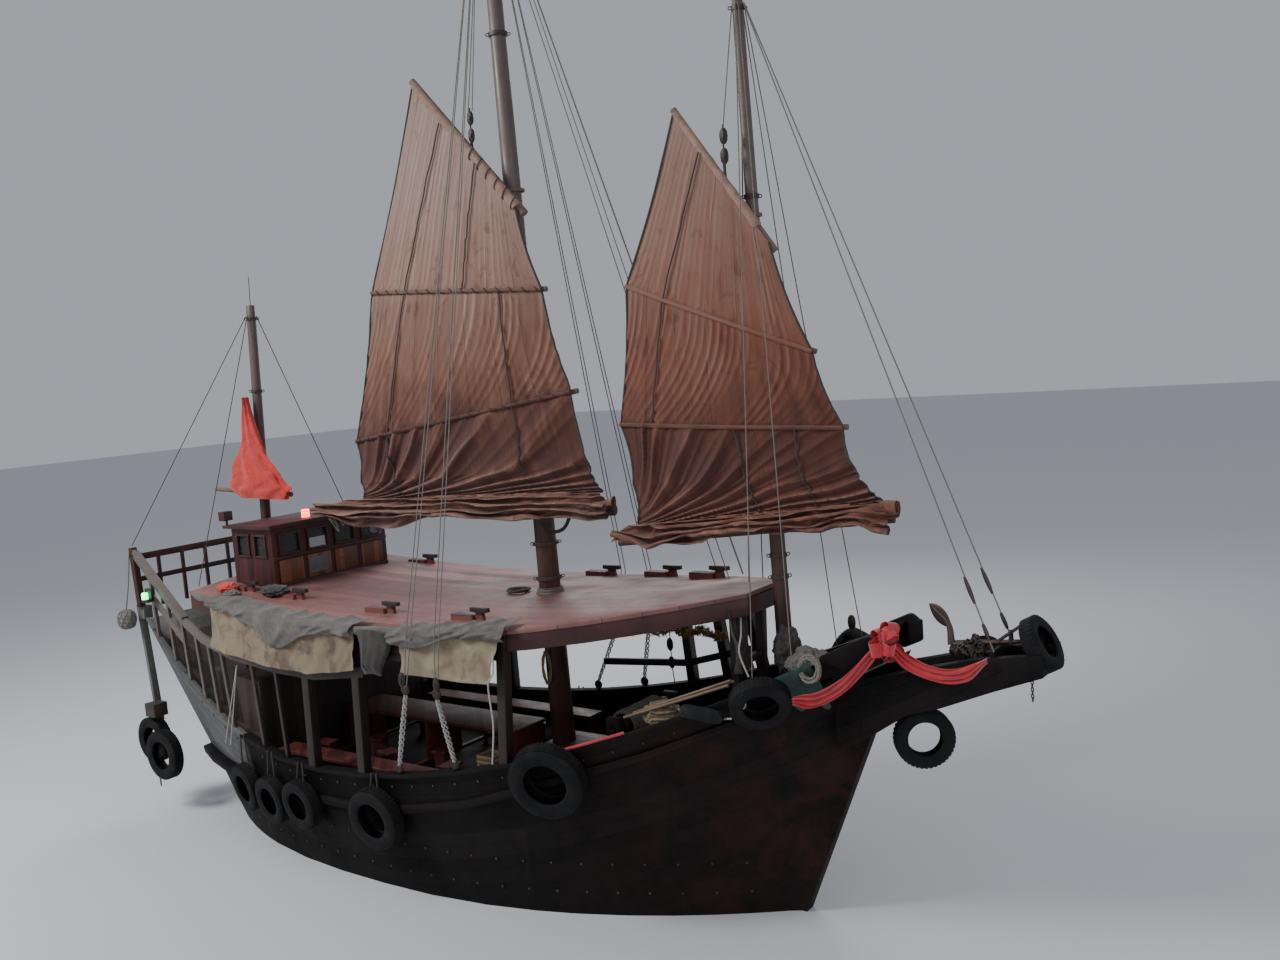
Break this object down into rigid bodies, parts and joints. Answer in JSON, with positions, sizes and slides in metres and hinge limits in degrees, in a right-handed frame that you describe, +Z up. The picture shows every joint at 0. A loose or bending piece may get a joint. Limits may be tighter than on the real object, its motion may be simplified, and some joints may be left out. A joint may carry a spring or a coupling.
{
  "type": "three-masted chinese junk ship",
  "caption": "Wooden chinese junk with a raised stern, open deck house under a long roof, wheelhouse, lug sails that swing round their masts, rudder and propeller.",
  "frame": {"origin": "on the centreline at the waterline, amidships", "axes": "+X forward to the bow, +Y to port, +Z up"},
  "size_m": [17.251, 5.5116, 17.4808],
  "materials": {
    "tarred_wood": "dark tar, dull, with worn edges",
    "weathered_wood": "bare grey weathered planks",
    "dark_wood": "dark brown oil",
    "red_wood": "dark red-brown paint, satin",
    "roof_paint": "faded pink-red deck paint",
    "mast_wood": "red-brown varnish",
    "spar_wood": "weathered pole",
    "sailcloth": "tanned canvas, stained",
    "red_sailcloth": "bright red canvas",
    "tyre_rubber": "worn rubber",
    "iron": "rusty galvanised iron",
    "rope": "laid rope",
    "canvas": "stained tan and grey canvas",
    "bronze": "dull bronze"
  },
  "bodies": {
    "hull": {"hull": "tarred_wood", "bulwark_starboard": "tarred_wood", "bulwark_port": "tarred_wood", "quarter_planking_starboard": "weathered_wood", "quarter_planking_port": "weathered_wood", "beak": "tarred_wood", "poop_block": "dark_wood", "transom": "weathered_wood", "roof": "roof_paint", "roof_fascia": "red_wood", "quarter_rail_starboard": "dark_wood", "quarter_rail_port": "dark_wood", "fore_posts": "dark_wood", "stern_rail": "red_wood", "wheelhouse_walls": "red_wood", "wheelhouse_roof": "red_wood", "helm": "dark_wood", "main_mast": "mast_wood", "fore_mast": "mast_wood", "mizzen_mast": "mast_wood", "rigging_main": "rope", "rigging_fore": "rope", "rigging_mizzen": "rope", "windlass_frame": "dark_wood", "deck_benches": "red_wood", "mast_case": "dark_wood", "wale_starboard": "dark_wood", "wale_port": "dark_wood", "tyre_bow": "tyre_rubber", "tyre_fore": "tyre_rubber", "tyre_waist": "tyre_rubber", "tyre_bow_port": "tyre_rubber", "tyre_waist_port": "tyre_rubber", "tyres_aft": "tyre_rubber", "tyre_beak_tip": "tyre_rubber", "tyre_under_beak": "tyre_rubber", "stern_board": "weathered_wood", "tyres_stern": "tyre_rubber", "fender_round": "rope", "anchor": "iron", "side_canvas": "canvas"},
    "main_sail_set": {"yard_main": "spar_wood", "upper_batten_main": "spar_wood", "lower_batten_main": "spar_wood", "boom_main": "spar_wood", "sail_main": "sailcloth"},
    "fore_sail_set": {"yard_fore": "spar_wood", "upper_batten_fore": "spar_wood", "lower_batten_fore": "spar_wood", "boom_fore": "spar_wood", "sail_fore": "sailcloth"},
    "mizzen_sail_set": {"boom_mizzen": "spar_wood", "sail_mizzen": "red_sailcloth"},
    "rudder": {"rudder": "dark_wood"},
    "propeller": {"propeller": "bronze"},
    "door": {"wheelhouse_door": "red_wood"},
    "windlass_drum": {"windlass_drum": "rope"}
  },
  "joints": [
    {"name": "main_sail_swing", "type": "hinge", "parent": "hull", "child": "main_sail_set", "pos_m": [2.064, 0, 0], "axis": [-0.0148, 0, 0.9999], "range_deg": [-60, 35]},
    {"name": "fore_sail_swing", "type": "hinge", "parent": "hull", "child": "fore_sail_set", "pos_m": [6.223, 0, 0], "axis": [-0.0122, 0, 0.9999], "range_deg": [-30, 30]},
    {"name": "mizzen_sail_swing", "type": "hinge", "parent": "hull", "child": "mizzen_sail_set", "pos_m": [-5.249, 0, 0], "axis": [0.0506, 0, 0.9987], "range_deg": [-50, 50]},
    {"name": "rudder_turn", "type": "hinge", "parent": "hull", "child": "rudder", "pos_m": [-5.85, 0, 0], "axis": [-0.2873, 0, 0.9578], "range_deg": [-35, 35]},
    {"name": "propeller_spin", "type": "hinge", "parent": "hull", "child": "propeller", "pos_m": [-5, 0, -1.28], "axis": [1, 0, 0], "continuous": true},
    {"name": "wheelhouse_door_swing", "type": "hinge", "parent": "hull", "child": "door", "pos_m": [-4.205, -0.996, 3.9], "axis": [0, 0, 1], "range_deg": [-95, 0]},
    {"name": "windlass_turn", "type": "hinge", "parent": "hull", "child": "windlass_drum", "pos_m": [3.65, 0, 2.48], "axis": [0, 1, 0], "continuous": true}
  ]
}
